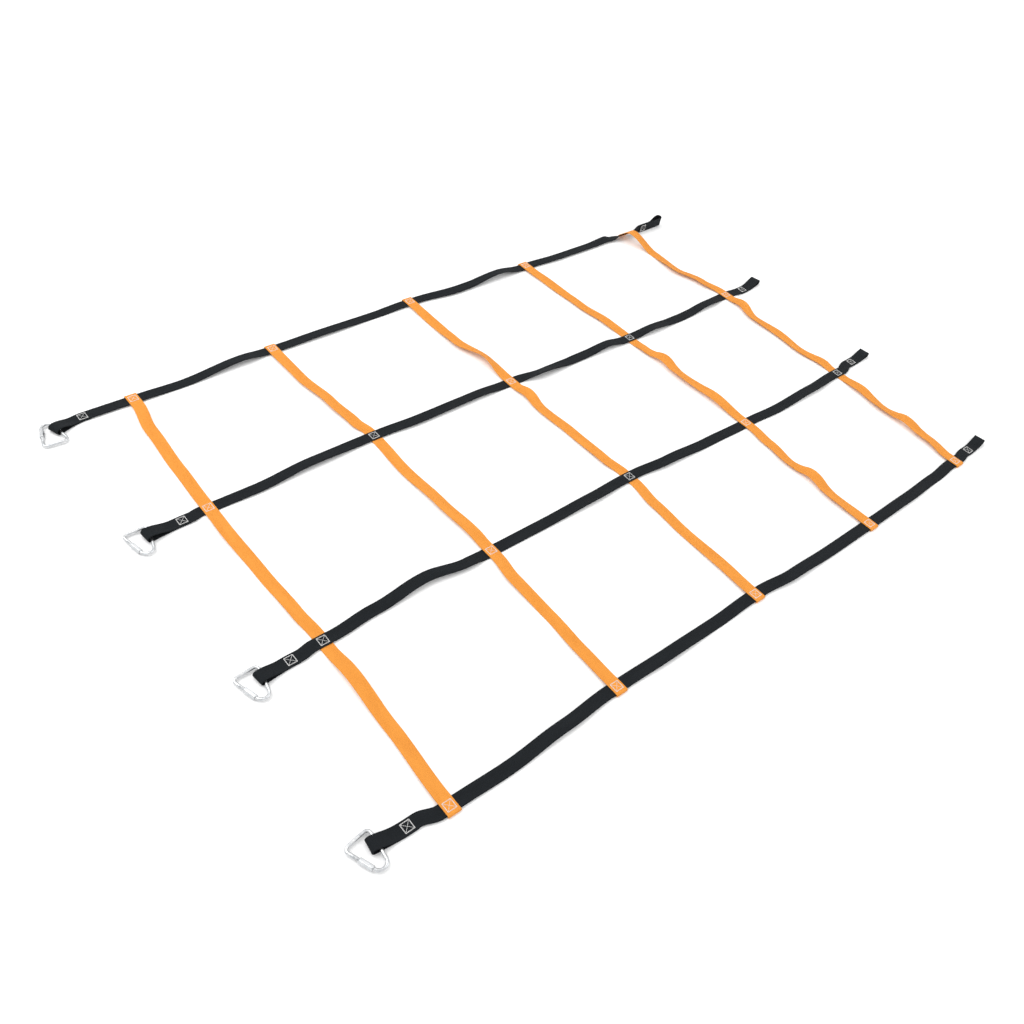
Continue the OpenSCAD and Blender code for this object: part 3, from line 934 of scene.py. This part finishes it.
def add_sleeve(letter):
    matrix = link_matrix(letter)
    start = on_gate_side(letter, SLEEVE_TO - SLEEVE_LEN)
    d = heading(GATE_HEADING)
    side = Vector((0, 0, 1)).cross(d)
    bore = BAR_R + SLEEVE_GAP

    def ring_at(distance, radius_of):
        ring = []
        for c in range(SLEEVE_STEPS):
            angle = 2 * pi * c / SLEEVE_STEPS
            radius = radius_of(angle, c)
            rise = Vector((0, 0, radius * cos(angle)))
            ring.append(matrix @ (start + d * distance + rise + side * radius * sin(angle)))
        return ring

    def flat_sided(angle, limit):
        turn = (degrees(angle) + 30) % 60 - 30
        corner = SLEEVE_FLATS / 2 / cos(radians(30))
        return min(SLEEVE_FLATS / 2 / cos(radians(turn)), corner - EDGE_WORN, limit)

    def bored(distance, c):
        tip = min(distance, SLEEVE_LEN - distance)
        groove = BORE_DEPTH * (1 - ridge(distance / THREAD_PITCH - c / SLEEVE_STEPS))
        return bore + max(groove, BORE_CHAMFER - tip)

    rings, ways = [], []
    for distance, limit in sleeve_outline():
        rings.append(ring_at(distance, lambda angle, c, limit=limit: flat_sided(angle, limit)))
        ways.append(distance)
    for distance in [SLEEVE_LEN - k / BORE_STEPS for k in range(int(SLEEVE_LEN * BORE_STEPS) + 1)]:
        rings.append(ring_at(distance, lambda angle, c, distance=distance: bored(distance, c)))
        ways.append(2 * SLEEVE_LEN + 4 - distance)
    rings.append(rings[0])
    ways.append(ways[-1] + 2)
    count = len(rings) - 1
    points = [p for ring in rings[:-1] for p in ring]
    faces, corners = [], []
    for k in range(count):
        n = (k + 1) % count
        for c in range(SLEEVE_STEPS):
            e = (c + 1) % SLEEVE_STEPS
            here, there = k * SLEEVE_STEPS, n * SLEEVE_STEPS
            faces.append((here + c, there + c, there + e, here + e))
            near = SLEEVE_GIRTH * c / SLEEVE_STEPS
            far = SLEEVE_GIRTH * (c + 1) / SLEEVE_STEPS
            corners += [(near, ways[k]), (near, ways[k + 1]), (far, ways[k + 1]), (far, ways[k])]
    add_piece(
        f"sleeve_nut_{letter}", [(points, faces, corners)], ZINC,
        f"sleeve_{letter}", f"link_sleeve_{letter}", crease=28)


# ---------------------------------------------------------------- The whole net
add_camera()
add_studio()

# Each webbing's colours: painted shade for the weave's grooves, its own colour, painted light for the
# yarn crests, then its sheen weight
BLACK = webbing_material(
    "black webbing", (0.002, 0.0024, 0.0028), (0.007, 0.009, 0.011), (0.022, 0.026, 0.03), 0.012)
ORANGE = webbing_material(
    "orange webbing", (0.46, 0.12, 0.01), (0.76, 0.28, 0.042), (0.9, 0.4, 0.08), 0.03)
THREAD = thread_material()
ZINC = zinc_material()

for i, letter in enumerate(LETTERS):
    add_strap(
        f"webbing_upright_{letter}", upright_rings(i), CROSSINGS[i] + [TOP_SEWN[i], BOTTOM_SEWN[i]],
        BLACK, f"upright_{letter}", i)
    for j, number in enumerate(RUNGS):
        add_stitches(CROSSINGS[i][j], f"thread_crossing_{letter}{number}", 10 * i + j)
    add_stitches(TOP_SEWN[i], f"thread_top_eye_{letter}", 100 + i)
    add_stitches(BOTTOM_SEWN[i], f"thread_bottom_eye_{letter}", 110 + i)
    add_link(letter)
    add_sleeve(letter)
for j, number in enumerate(RUNGS):
    add_strap(
        f"webbing_rung_{number}", rung_rings(j), [row[j] for row in CROSSINGS],
        ORANGE, f"rung_{number}", 20 + j)

bpy.ops.mesh.primitive_plane_add(size=FLOOR_SIZE, location=(0, 0, -FLOOR_DROP))
ground = bpy.context.object
ground.name = "floor"
ground.data.materials.append(floor_material())
